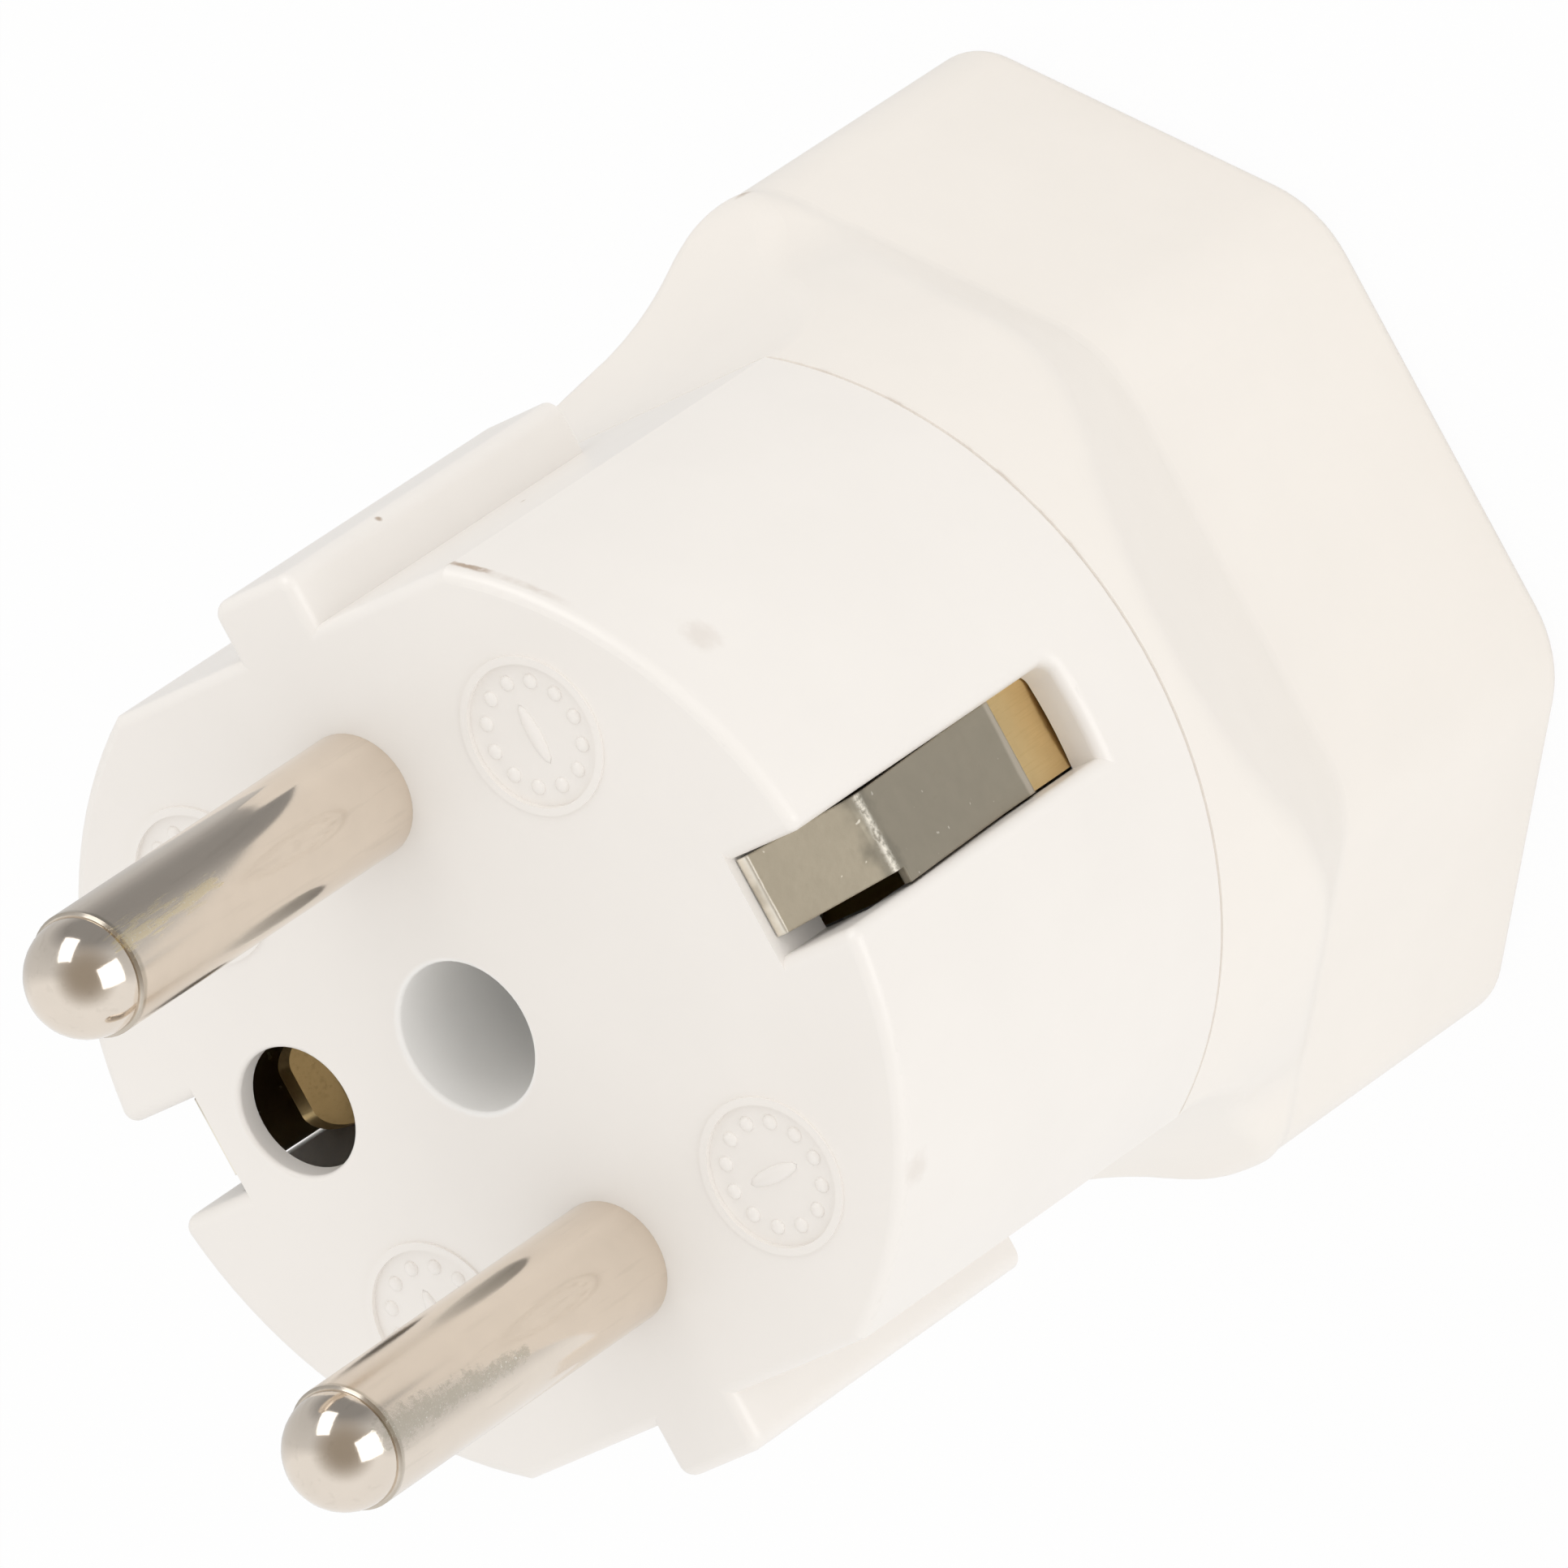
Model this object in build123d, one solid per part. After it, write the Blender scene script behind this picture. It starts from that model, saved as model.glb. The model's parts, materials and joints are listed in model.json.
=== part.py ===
from build123d import *
import math
import os

# Travel adapter: a round earthed two-pin plug in front, a recessed three-pole socket behind.
# Millimetres. The part stands on its socket rim at Z = 0 with its pins up. X runs along the pin line
# and Y towards the earth hole.

# Shell lengths, from the socket rim up to the plug face
prism_length = 15.0
transition_length = 12.7
plug_length = 20.8
shell_wall = 1.6
seam_chamfer = 0.15
clearance = 0.05

# Hexagonal head, measured to its sharp corners from the round plug's outline
head_flat_inset = 5.95
head_point_overhang = 3.45
point_radius = 2.9
knee_radius = 5.0
rim_radius = 0.9
valley_radius = 1.5

# Transition from the head to the round plug
shoulder_slope = 27.5
shoulder_radius = 2.5
grip_proud = 0.1
grip_nose_radius = 3.8
grip_blend_radius = 4.0
grip_edge_radius = 1.2
crown_radius = 3.0

# Plug end
plug_diameter = 35.7
plug_flat_depth = 2.25
face_wall = 3.0
face_edge_radius = 0.45
rib_width = 4.1
rib_height = 2.2
rib_length = 17.0
rib_edge_radius = 0.6

# Lip that centres the plug shell in the head
lip_depth = 2.0
lip_root = 2.5
lip_wall = 1.0
lip_clearance = 0.1

# Pins, 19 mm apart on the plug and on the socket alike
pole_pitch = 19.0
pin_diameter = 4.8
pin_length = 19.0
dome_diameter = 4.5
dome_step = 0.1
pin_relief_diameter = 4.4
pin_relief_length = 1.0
pin_seat_diameter = 5.6
collar_diameter = 7.4
collar_height = 2.0
boss_diameter = 8.0
spigot_diameter = 3.0

# Round marks on the plug face
mark_offset_x = 8.9
mark_offset_y = 8.8
mark_diameter = 6.1
mark_rim = 0.3
mark_rim_height = 0.1
mark_floor_depth = 0.12

# Earth hole and the leaf behind it
earth_hole_offset = 10.0
earth_hole_diameter = 5.0
earth_hole_edge = 0.2
earth_hole_wall = 0.9
earth_pocket_width = 8.0
earth_pocket_reach = 3.8
earth_pocket_past = 1.0
leaf_width = 4.0
leaf_thickness = 0.4
leaf_gap = 0.3
leaf_lean = 0.4
leaf_flare = 1.6
leaf_flare_height = 1.4
leaf_top_gap = 1.9
leaf_corner = 1.2
leaf_bend = 0.8

# Assembly screw and its well
well_offset = 1.0
well_diameter = 5.8
well_wall = 1.4
well_edge = 0.2
well_floor = 2.0
well_seat_diameter = 5.2
well_seat_depth = 2.2
screw_diameter = 3.0
screw_head_diameter = 5.0
screw_head_height = 2.0
screw_head_edge = 0.7
screw_length = 16.0
screw_tip = 0.8
driver_slot_width = 0.9
driver_slot_length = 3.4
driver_slot_depth = 1.1
screw_boss_diameter = 5.2

# Socket
socket_wall = 2.4
socket_corner = 0.5
socket_depth = 12.0
socket_floor = 3.0
ledge_width = 1.0
ledge_height = 1.5
socket_hole_diameter = 4.6
socket_hole_lead = 0.35
socket_earth_offset = 5.0
mating_pin_diameter = 4.0
mating_pin_length = 19.0
mating_tip_gap = 0.2

# Line and neutral sleeves with their spring rings
sleeve_bore_gap = 0.05
sleeve_wall = 0.55
sleeve_end = 2.0
sleeve_foot_gap = 0.3
sleeve_slot_width = 0.8
sleeve_slot_length = 10.0
ring_wall = 0.45
ring_height = 3.0
ring_gap = 1.4
ring_lift = 2.0
ring_tube_gap = 0.1

# Earth bridge, side clips and socket earth channel
strip_thickness = 0.6
bridge_pad_width = 7.2
bridge_pad_length = 12.0
bridge_bend = 0.9
bridge_arm_depth = 9.0
notch_width = 3.9
notch_depth = 3.85
slot_length = 16.2
slot_edge_radius = 0.5
clip_width = 3.7
clip_step = 0.6
clip_step_lead = 0.4
clip_thickness = 0.35
clip_end_inset = 3.35
clip_end_depth = 0.45
clip_edge_radius = 0.1
clip_kink_rise = 0.96
clip_kink_depth = 4.0
clip_tail_depth = 13.5
clip_weld_length = 2.0
clip_bend = 1.0
channel_side_gap = 0.05
channel_back_gap = 0.3
channel_depth = 4.6
channel_foot_gap = 0.5
channel_tab_length = 4.4

# Rivets
rivet_diameter = 1.8
rivet_head_diameter = 3.0
rivet_head_height = 0.5
rivet_head_edge = 0.3
leaf_rivet_offset = 8.0

# Heights worked out from the sizes above
seam_z = prism_length + transition_length
face_z = seam_z + plug_length
face_back_z = face_z - face_wall
pin_seat_z = face_z - pin_relief_length
floor_top_z = socket_depth + socket_floor
ledge_top_z = floor_top_z + ledge_height
mating_tip_z = socket_depth + mating_pin_length
bridge_z = mating_tip_z + mating_tip_gap
bridge_top_z = bridge_z + strip_thickness
well_floor_z = bridge_top_z + well_floor
well_seat_z = well_floor_z + well_seat_depth
sleeve_foot_z = floor_top_z + sleeve_foot_gap
sleeve_bore_top_z = mating_tip_z + mating_tip_gap
collar_z = sleeve_bore_top_z + sleeve_end
collar_top_z = collar_z + collar_height

# Radii and places worked out from the sizes above
plug_radius = plug_diameter / 2
half_flats = plug_radius - plug_flat_depth
head_half_flats = plug_radius - head_flat_inset
head_half_points = plug_radius + head_point_overhang
grip_half = head_half_points - point_radius * (math.sqrt(2) - 1) + grip_proud
notch_floor = plug_radius - notch_depth
sleeve_bore = mating_pin_diameter / 2 + sleeve_bore_gap
sleeve_radius = sleeve_bore + sleeve_wall
ring_radius = sleeve_radius + ring_wall
nose_offset = grip_half - grip_nose_radius
arm_reach = math.sqrt((plug_radius - shell_wall) ** 2 - (clip_width / 2) ** 2) - clearance
channel_half = mating_pin_diameter / 2 + channel_side_gap
channel_width = 2 * (channel_half + strip_thickness)
channel_back = socket_earth_offset + mating_pin_diameter / 2 + channel_back_gap + strip_thickness
channel_rivet_offset = channel_back + channel_tab_length / 2
line_spot = (pole_pitch / 2, 0)
neutral_spot = (-pole_pitch / 2, 0)
pole_spots = (line_spot, neutral_spot)
earth_hole_spot = (0, earth_hole_offset)
screw_spot = (0, well_offset)
socket_earth_spot = (0, -socket_earth_offset)

# Waist curve: a hollow arc below each flat of the plug runs into a crown arc at the head's point
waist_turn = 2 * math.atan((grip_half - half_flats) / transition_length)
hollow_radius = transition_length / math.sin(waist_turn) - crown_radius

touch = 0.01


def rod(radius, low, high, spot=(0, 0)):
    """Upright cylinder between two heights."""
    return Pos(spot[0], spot[1], low) * extrude(Circle(radius), high - low)


def block(size_x, size_y, low, high, spot=(0, 0)):
    """Upright box between two heights."""
    return Pos(spot[0], spot[1], low) * extrude(Rectangle(size_x, size_y), high - low)


def hexagon(grow, z):
    """Elongated hexagon with 45 degree ends, moved out by grow from the head's outline."""
    half_flat = head_half_flats + grow
    point = head_half_points + grow * math.sqrt(2)
    knee = point - half_flat
    right = ((knee, -half_flat), (point, 0), (knee, half_flat))
    left = ((-knee, half_flat), (-point, 0), (-knee, -half_flat))
    sheet = make_face(Polyline(*right, *left, close=True))
    knees = [v for v in sheet.vertices() if abs(v.Y) > half_flat / 2]
    sheet = fillet(knees, max(knee_radius + grow, socket_corner))
    points = [v for v in sheet.vertices() if abs(v.Y) < touch]
    sheet = fillet(points, max(point_radius + grow, socket_corner))
    return Pos(0, 0, z) * sheet


def waist(inset):
    """Slab between the S-curved sides that flare from the plug's flats to the head's points."""
    turn = math.degrees(waist_turn)
    top = (half_flats - inset, seam_z)
    hollow = JernArc(top, (0, -1), hollow_radius + inset, turn)
    crown = JernArc(hollow @ 1, hollow % 1, crown_radius - inset, -turn)
    base = crown @ 1
    edge = Polyline(base, (0, base.Y), (0, seam_z), top)
    half = extrude(make_face(Plane.XZ * (hollow + crown + edge)), plug_radius, both=True)
    return half + mirror(half, Plane.YZ)


def waist_half(z):
    """Half width of the waist at one height."""
    below_flat = seam_z - z
    if below_flat < hollow_radius * math.sin(waist_turn):
        return half_flats + hollow_radius - math.sqrt(hollow_radius ** 2 - below_flat ** 2)
    return grip_half - crown_radius + math.sqrt(crown_radius ** 2 - (z - prism_length) ** 2)


def between(edge, low, high):
    return low + touch < (edge @ 0.5).Z < high - touch


def transition_plan(inset):
    """Round outline with a nose towards each point of the head, blended into it."""
    sheet = Circle(plug_radius - inset)
    for side in (1, -1):
        sheet += Pos(side * nose_offset, 0) * Circle(grip_nose_radius - inset)
    return fillet([v for v in sheet.vertices() if abs(v.Y) > touch], grip_blend_radius + inset)


def transition(inset, ridge_radius=0.0):
    """Round plug section running down into the hexagon, moved in by inset."""
    growth = transition_length * math.tan(math.radians(shoulder_slope))
    low = hexagon(-inset, prism_length)
    high = hexagon(growth - inset, seam_z)
    cone = loft([low, high], ruled=True)
    core = cone & (Pos(0, 0, prism_length) * extrude(transition_plan(inset), transition_length))
    if ridge_radius:
        curves = [e for e in core.edges() if e.geom_type != GeomType.LINE]
        core = fillet([e for e in curves if between(e, prism_length, seam_z)], ridge_radius)
    return core & waist(inset)


def head_outside():
    """Outer form of the head, its edges softened."""
    body = extrude(hexagon(0, 0), prism_length) + transition(0, shoulder_radius)
    level = [e for e in body.edges() if abs((e @ 0).Z - (e @ 1).Z) < touch]
    body = fillet([e for e in level if abs((e @ 0.5).Z - prism_length) < touch], valley_radius)
    curves = [e for e in body.edges() if e.geom_type != GeomType.LINE and between(e, prism_length, seam_z)]
    sides = [e for e in curves if abs(abs((e @ 0.5).X) - waist_half((e @ 0.5).Z)) < touch]
    body = fillet([e for e in sides if abs((e @ 0.5).Y) > grip_edge_radius], grip_edge_radius)
    rim = [e for e in body.edges() if abs((e @ 0.5).Z) < touch]
    return fillet(rim, rim_radius)


def plug_section(inset):
    """Round section with two flats."""
    return Circle(plug_radius - inset) & Rectangle(2 * (half_flats - inset), plug_diameter)


def plug_slice(inset, low, high):
    return Pos(0, 0, low) * extrude(plug_section(inset), high - low)


def bent_strip(route, thickness, width, bend):
    """Strip of even thickness laid on the left of a route in the YZ plane."""
    line = FilletPolyline(*route, radius=bend)
    sheet = make_face(offset(line, thickness, side=Side.LEFT, kind=Kind.INTERSECTION))
    return extrude(Plane.YZ * sheet, width / 2, both=True)


def round_edges(solid, radius, z, spot):
    """The circular edges of one radius round one spot at one height."""
    circles = solid.edges().filter_by(GeomType.CIRCLE)
    level = [e for e in circles if abs((e @ 0.5).Z - z) < touch and abs(e.radius - radius) < touch]
    centre = Vector(spot[0], spot[1], z)
    return [e for e in level if (e.arc_center - centre).length < touch]


def rear_housing():
    """Head shell with the socket recess and a ledge that the socket plate is pulled up against."""
    inside = extrude(hexagon(-shell_wall, 0), prism_length) + transition(shell_wall)
    shell = head_outside() - (inside & block(4 * plug_diameter, 2 * plug_diameter, ledge_top_z, seam_z))
    shell -= extrude(hexagon(-socket_wall, 0), floor_top_z)
    shell -= extrude(hexagon(-socket_wall - ledge_width, floor_top_z), ledge_height)
    channel_room = (channel_width + 2 * clearance, 2 * (channel_back + clearance))
    shell -= block(*channel_room, floor_top_z, ledge_top_z)
    return tube_room(shell, floor_top_z, seam_z)


def tube_room(shell, low, high):
    """A shell with clearance for the sleeve tubes and pin collars wherever its wall comes close to them."""
    for spot in pole_spots:
        shell -= rod(boss_diameter / 2 + clearance, low, high, spot)
    return shell


def socket_plate():
    """Plate at the bottom of the recess, with the socket's holes, the sleeve tubes and the screw boss."""
    plate = extrude(hexagon(-socket_wall - clearance, socket_depth), socket_floor)
    for spot in pole_spots:
        tube = rod(boss_diameter / 2, floor_top_z, collar_z, spot)
        plate += tube - rod(ring_radius + ring_tube_gap, floor_top_z, collar_z, spot)
    screw_end_z = well_floor_z - screw_length - clearance
    plate += rod(screw_boss_diameter / 2, floor_top_z, bridge_z, screw_spot)
    plate -= rod(screw_diameter / 2 + clearance, screw_end_z, bridge_z, screw_spot)
    hole = socket_hole_diameter / 2
    for spot in (*pole_spots, socket_earth_spot):
        plate -= rod(hole, socket_depth, floor_top_z, spot)
        plate = chamfer(round_edges(plate, hole, socket_depth, spot), socket_hole_lead)
    return plate


def lip():
    """Short wall inside the seam, on the round sides, left out where the sleeves and the bridge are."""
    outer = shell_wall + lip_clearance
    inner = outer + lip_wall
    low = seam_z - lip_depth
    high = seam_z + lip_root
    ring = transition(outer) & block(plug_diameter, plug_diameter, low, seam_z)
    ring += plug_slice(shell_wall, seam_z, high)
    ring -= plug_slice(inner, low, high)
    ring -= block(plug_diameter, boss_diameter + lip_wall, low, high)
    return ring - block(clip_width + lip_wall, plug_diameter, low, high)


def plug_body():
    """Front shell: plug face, flats, guide ribs, clip slots, pin bosses and screw well."""
    shell = plug_slice(0, seam_z, face_z)
    ribs = block(2 * (half_flats + rib_height), rib_width, face_z - rib_length, face_z)
    shell += fillet(ribs.edges().filter_by(Axis.Z), rib_edge_radius)
    shell = fillet([e for e in shell.edges() if abs((e @ 0.5).Z - face_z) < touch], face_edge_radius)
    shell = chamfer([e for e in shell.edges() if abs((e @ 0.5).Z - seam_z) < touch], seam_chamfer)
    shell -= plug_slice(shell_wall, seam_z, face_back_z)
    shell = tube_room(shell + lip(), seam_z, collar_top_z)
    for spot in pole_spots:
        shell += rod(boss_diameter / 2, collar_top_z, face_back_z, spot)
        shell -= rod(pin_seat_diameter / 2 + clearance, collar_top_z, pin_seat_z, spot)
        shell -= rod(pin_diameter / 2, pin_seat_z, face_z, spot)
    shell += rod(well_diameter / 2 + well_wall, bridge_top_z, face_back_z, screw_spot)
    shell -= rod(well_diameter / 2, well_seat_z, face_z, screw_spot)
    shell -= rod(well_seat_diameter / 2, well_floor_z, well_seat_z, screw_spot)
    shell -= rod(screw_diameter / 2 + clearance, bridge_top_z, well_floor_z, screw_spot)
    pocket_low = earth_hole_offset - earth_pocket_reach
    pocket_high = notch_floor + earth_pocket_past
    pocket_spot = (0, (pocket_low + pocket_high) / 2)
    pocket_top_z = face_z - earth_hole_wall
    shell -= block(earth_pocket_width, pocket_high - pocket_low, face_back_z, pocket_top_z, pocket_spot)
    shell -= rod(earth_hole_diameter / 2, face_back_z, face_z, earth_hole_spot)
    mouths = round_edges(shell, well_diameter / 2, face_z, screw_spot)
    shell = fillet(mouths, well_edge)
    shell = fillet(round_edges(shell, earth_hole_diameter / 2, face_z, earth_hole_spot), earth_hole_edge)
    reach = plug_radius - notch_floor
    for side in (1, -1):
        spot = (0, side * (notch_floor + reach))
        shell -= block(notch_width, 2 * reach, face_z - slot_length, face_z, spot)
    rims = [e for e in shell.edges() if abs(math.hypot((e @ 0).X, (e @ 0).Y) - plug_radius) < touch]
    rims = [e for e in rims if abs((e @ 0).X) < notch_width / 2 + touch and (e @ 0.5).Z < face_z - touch]
    shell = fillet(rims, slot_edge_radius)
    for x in (mark_offset_x, -mark_offset_x):
        for y in (mark_offset_y, -mark_offset_y):
            shell = marked(shell, (x, y))
    return shell


def marked(shell, spot):
    """Shallow round mark with a fine raised rim."""
    outer = mark_diameter / 2
    inner = outer - mark_rim
    shell += rod(outer, face_z, face_z + mark_rim_height, spot)
    return shell - rod(inner, face_z - mark_floor_depth, face_z + mark_rim_height, spot)


def plug_pin(spot):
    """Turned pin: dome, shaft with a relief at the plug face, trapped collar and rear spigot."""
    dome_z = face_z + pin_length - dome_diameter / 2
    shaft = rod(pin_diameter / 2, face_z, dome_z, spot)
    shaft = chamfer(shaft.edges().group_by(Axis.Z)[-1], dome_step)
    shaft += rod(pin_relief_diameter / 2, pin_seat_z, face_z, spot)
    shaft += rod(pin_seat_diameter / 2, collar_top_z, pin_seat_z, spot)
    dome = Pos(spot[0], spot[1], dome_z) * Sphere(dome_diameter / 2)
    collar = rod(collar_diameter / 2, collar_z, collar_top_z, spot)
    spigot = rod(spigot_diameter / 2, sleeve_bore_top_z, collar_z, spot)
    return shaft + dome + collar + spigot


def pole_sleeve(spot):
    """Slotted sleeve that takes a socket-side pin and is pressed on a plug pin's spigot."""
    tube = rod(sleeve_radius, sleeve_foot_z, collar_z, spot)
    tube -= rod(sleeve_bore, sleeve_foot_z, sleeve_bore_top_z, spot)
    tube -= rod(spigot_diameter / 2, sleeve_bore_top_z, collar_z, spot)
    slot_top = sleeve_foot_z + sleeve_slot_length
    return tube - block(sleeve_slot_width, 4 * sleeve_radius, sleeve_foot_z, slot_top, spot)


def spring_ring(spot):
    """Open steel ring that closes a sleeve's slotted end."""
    low = sleeve_foot_z + ring_lift
    high = low + ring_height
    ring = rod(ring_radius, low, high, spot) - rod(sleeve_radius, low, high, spot)
    return ring - block(ring_radius, ring_gap, low, high, (spot[0] + ring_radius, spot[1]))


def earth_bridge():
    """Brass strip across the plug, turned up behind both side slots."""
    top = face_z - bridge_arm_depth
    route = ((-arm_reach, top), (-arm_reach, bridge_z), (arm_reach, bridge_z), (arm_reach, top))
    strip = bent_strip(route, strip_thickness, clip_width, bridge_bend)
    strip += block(bridge_pad_width, bridge_pad_length, bridge_z, bridge_top_z)
    strip -= rod(screw_diameter / 2 + clearance, bridge_z, bridge_top_z, screw_spot)
    for offset_y in (leaf_rivet_offset, -channel_rivet_offset):
        strip -= rod(rivet_diameter / 2, bridge_z, bridge_top_z, (0, offset_y))
    return strip


def earth_clip(side):
    """Sprung side clip, welded to the bridge at its tail and stepped narrower past its kink."""
    weld = arm_reach + clip_thickness
    tail_z = face_z - clip_tail_depth
    kink_z = face_z - clip_kink_depth
    end_z = face_z - clip_end_depth
    weld_top = (weld, tail_z + clip_weld_length)
    end_reach = plug_radius - clip_end_inset
    kink_reach = weld + clip_kink_rise
    lean = (end_reach - kink_reach) / (end_z - kink_z)
    past_end = (end_reach + lean * clip_thickness, end_z + clip_thickness)
    route = ((weld, tail_z), weld_top, (kink_reach, kink_z), past_end)
    clip = bent_strip(route, clip_thickness, clip_width, clip_bend)
    clip -= block(2 * clip_width, 2 * plug_diameter, end_z, face_z + clip_thickness)
    tips = [e for e in clip.edges().filter_by(Axis.X) if abs((e @ 0.5).Z - end_z) < touch]
    clip = fillet(max(tips, key=lambda e: (e @ 0.5).Y), clip_edge_radius)
    step_edge = (clip_step - clip_width) / 2
    clip -= block(clip_step, 2 * plug_diameter, kink_z - clip_step_lead, face_z, (step_edge, 0))
    return clip if side > 0 else mirror(clip, Plane.XZ)


def earth_leaf():
    """Brass leaf that presses on an earth pin in the plug's earth hole."""
    foot = earth_hole_offset + earth_hole_diameter / 2 + leaf_gap + leaf_thickness
    top_z = face_back_z - leaf_top_gap
    start = (well_offset + well_diameter / 2 + well_wall + leaf_gap, bridge_top_z)
    pinch = (foot - leaf_lean, top_z - leaf_flare_height)
    past_top = (pinch[0] + 1.25 * leaf_flare, pinch[1] + 1.25 * leaf_flare_height)
    route = (start, (foot, bridge_top_z), pinch, past_top)
    leaf = bent_strip(route, leaf_thickness, leaf_width, leaf_bend)
    frame = block(leaf_width, 2 * plug_diameter, bridge_top_z, top_z)
    corners = frame.edges().filter_by(Axis.Y).group_by(Axis.Z)[-1]
    leaf &= fillet(corners, leaf_corner)
    rivet_top = bridge_top_z + leaf_thickness
    return leaf - rod(rivet_diameter / 2, bridge_top_z, rivet_top, (0, leaf_rivet_offset))


def earth_channel():
    """Folded channel that grips the socket-side earth pin, with a tab under the bridge."""
    low = floor_top_z + channel_foot_gap
    middle = (0, -channel_back + channel_depth / 2)
    fold = block(channel_width, channel_depth, low, bridge_z, middle)
    fold -= block(2 * channel_half, channel_depth, low, bridge_z, (0, middle[1] + strip_thickness))
    tab_low = bridge_z - strip_thickness
    tab = block(channel_width, channel_tab_length, tab_low, bridge_z, (0, -channel_rivet_offset))
    tab -= rod(rivet_diameter / 2, tab_low, bridge_z, (0, -channel_rivet_offset))
    return fold + tab


def rivet(spot, low, high):
    """Rivet whose shank spans two heights, with a soft-edged head at each end."""
    shank = rod(rivet_diameter / 2, low, high, spot)
    upper = rod(rivet_head_diameter / 2, high, high + rivet_head_height, spot)
    lower = rod(rivet_head_diameter / 2, low - rivet_head_height, low, spot)
    upper = fillet(upper.edges().group_by(Axis.Z)[-1], rivet_head_edge)
    lower = fillet(lower.edges().group_by(Axis.Z)[0], rivet_head_edge)
    return shank + upper + lower


def assembly_screw():
    """Cross-slotted screw at the bottom of the centre well."""
    head_top = well_floor_z + screw_head_height
    head = rod(screw_head_diameter / 2, well_floor_z, head_top, screw_spot)
    head = fillet(head.edges().group_by(Axis.Z)[-1], screw_head_edge)
    for size in ((driver_slot_length, driver_slot_width), (driver_slot_width, driver_slot_length)):
        head -= block(*size, head_top - driver_slot_depth, head_top, screw_spot)
    shank = rod(screw_diameter / 2, well_floor_z - screw_length, well_floor_z, screw_spot)
    return head + chamfer(shank.edges().group_by(Axis.Z)[0], screw_tip)


parts = {
    "rear_housing": rear_housing(),
    "socket_plate": socket_plate(),
    "plug_body": plug_body(),
    "line_pin": plug_pin(line_spot),
    "neutral_pin": plug_pin(neutral_spot),
    "line_sleeve": pole_sleeve(line_spot),
    "neutral_sleeve": pole_sleeve(neutral_spot),
    "line_spring_ring": spring_ring(line_spot),
    "neutral_spring_ring": spring_ring(neutral_spot),
    "earth_bridge": earth_bridge(),
    "earth_clip_near": earth_clip(-1),
    "earth_clip_far": earth_clip(1),
    "earth_leaf": earth_leaf(),
    "earth_channel": earth_channel(),
    "leaf_rivet": rivet((0, leaf_rivet_offset), bridge_z, bridge_top_z + leaf_thickness),
    "channel_rivet": rivet((0, -channel_rivet_offset), bridge_z - strip_thickness, bridge_top_z),
    "assembly_screw": assembly_screw(),
}

os.makedirs("parts", exist_ok=True)
for name, shape in parts.items():
    export_step(shape, f"parts/{name}.step")
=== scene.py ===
import json
import math
import bpy
from mathutils import Matrix, Vector


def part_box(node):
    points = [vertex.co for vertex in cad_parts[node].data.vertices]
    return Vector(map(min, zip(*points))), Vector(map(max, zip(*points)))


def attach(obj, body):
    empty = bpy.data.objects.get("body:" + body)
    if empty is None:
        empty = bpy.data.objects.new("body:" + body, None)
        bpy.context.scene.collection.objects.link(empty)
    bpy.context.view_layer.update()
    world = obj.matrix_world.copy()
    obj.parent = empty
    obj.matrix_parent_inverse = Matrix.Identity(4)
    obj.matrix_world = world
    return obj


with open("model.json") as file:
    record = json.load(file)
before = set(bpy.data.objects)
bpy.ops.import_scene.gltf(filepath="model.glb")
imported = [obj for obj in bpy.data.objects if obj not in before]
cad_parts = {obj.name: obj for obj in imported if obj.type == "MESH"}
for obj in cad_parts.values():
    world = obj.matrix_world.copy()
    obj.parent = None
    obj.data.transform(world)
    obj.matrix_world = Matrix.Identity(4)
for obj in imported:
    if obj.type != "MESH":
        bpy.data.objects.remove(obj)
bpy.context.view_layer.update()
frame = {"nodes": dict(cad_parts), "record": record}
nodes = frame["nodes"]
mm = 0.001
bodyName = "root"
bpy.context.scene.view_settings.view_transform = "Standard"
print("frame loaded,", len(nodes), "nodes")

# places that the looks need, in mm, read off the frame
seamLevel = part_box("rear_housing")[1].z / mm
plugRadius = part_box("plug_body")[1].y / mm
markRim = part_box("plug_body")[1].z / mm
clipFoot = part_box("earth_clip_near")[0].z / mm
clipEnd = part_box("earth_clip_near")[1].z / mm
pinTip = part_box("line_pin")[1].z / mm


# small helpers for node trees

def addNode(tree, kind, **settings):
    node = tree.nodes.new(kind)
    for key, value in settings.items():
        setattr(node, key, value)
    return node


def feed(tree, value, socket):
    if hasattr(value, "is_output"):
        tree.links.new(value, socket)
    else:
        socket.default_value = value


def mathNode(tree, operation, first, second=0.0, third=0.0, clamp=False):
    node = addNode(tree, "ShaderNodeMath", operation=operation, use_clamp=clamp)
    for socket, value in zip(node.inputs, (first, second, third)):
        feed(tree, value, socket)
    return node.outputs[0]


def vectorNode(tree, operation, first, second=(0, 0, 0)):
    node = addNode(tree, "ShaderNodeVectorMath", operation=operation)
    feed(tree, first, node.inputs[0])
    feed(tree, second, node.inputs[1])
    return node.outputs["Value" if operation in ("DISTANCE", "DOT_PRODUCT", "LENGTH") else "Vector"]


def scaled(tree, vector, amount):
    node = addNode(tree, "ShaderNodeVectorMath", operation="SCALE")
    feed(tree, vector, node.inputs[0])
    feed(tree, amount, node.inputs["Scale"])
    return node.outputs["Vector"]


def separate(tree, vector):
    node = addNode(tree, "ShaderNodeSeparateXYZ")
    tree.links.new(vector, node.inputs[0])
    return node.outputs


def combine(tree, x, y, z):
    node = addNode(tree, "ShaderNodeCombineXYZ")
    for socket, value in zip(node.inputs, (x, y, z)):
        feed(tree, value, socket)
    return node.outputs[0]


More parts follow.
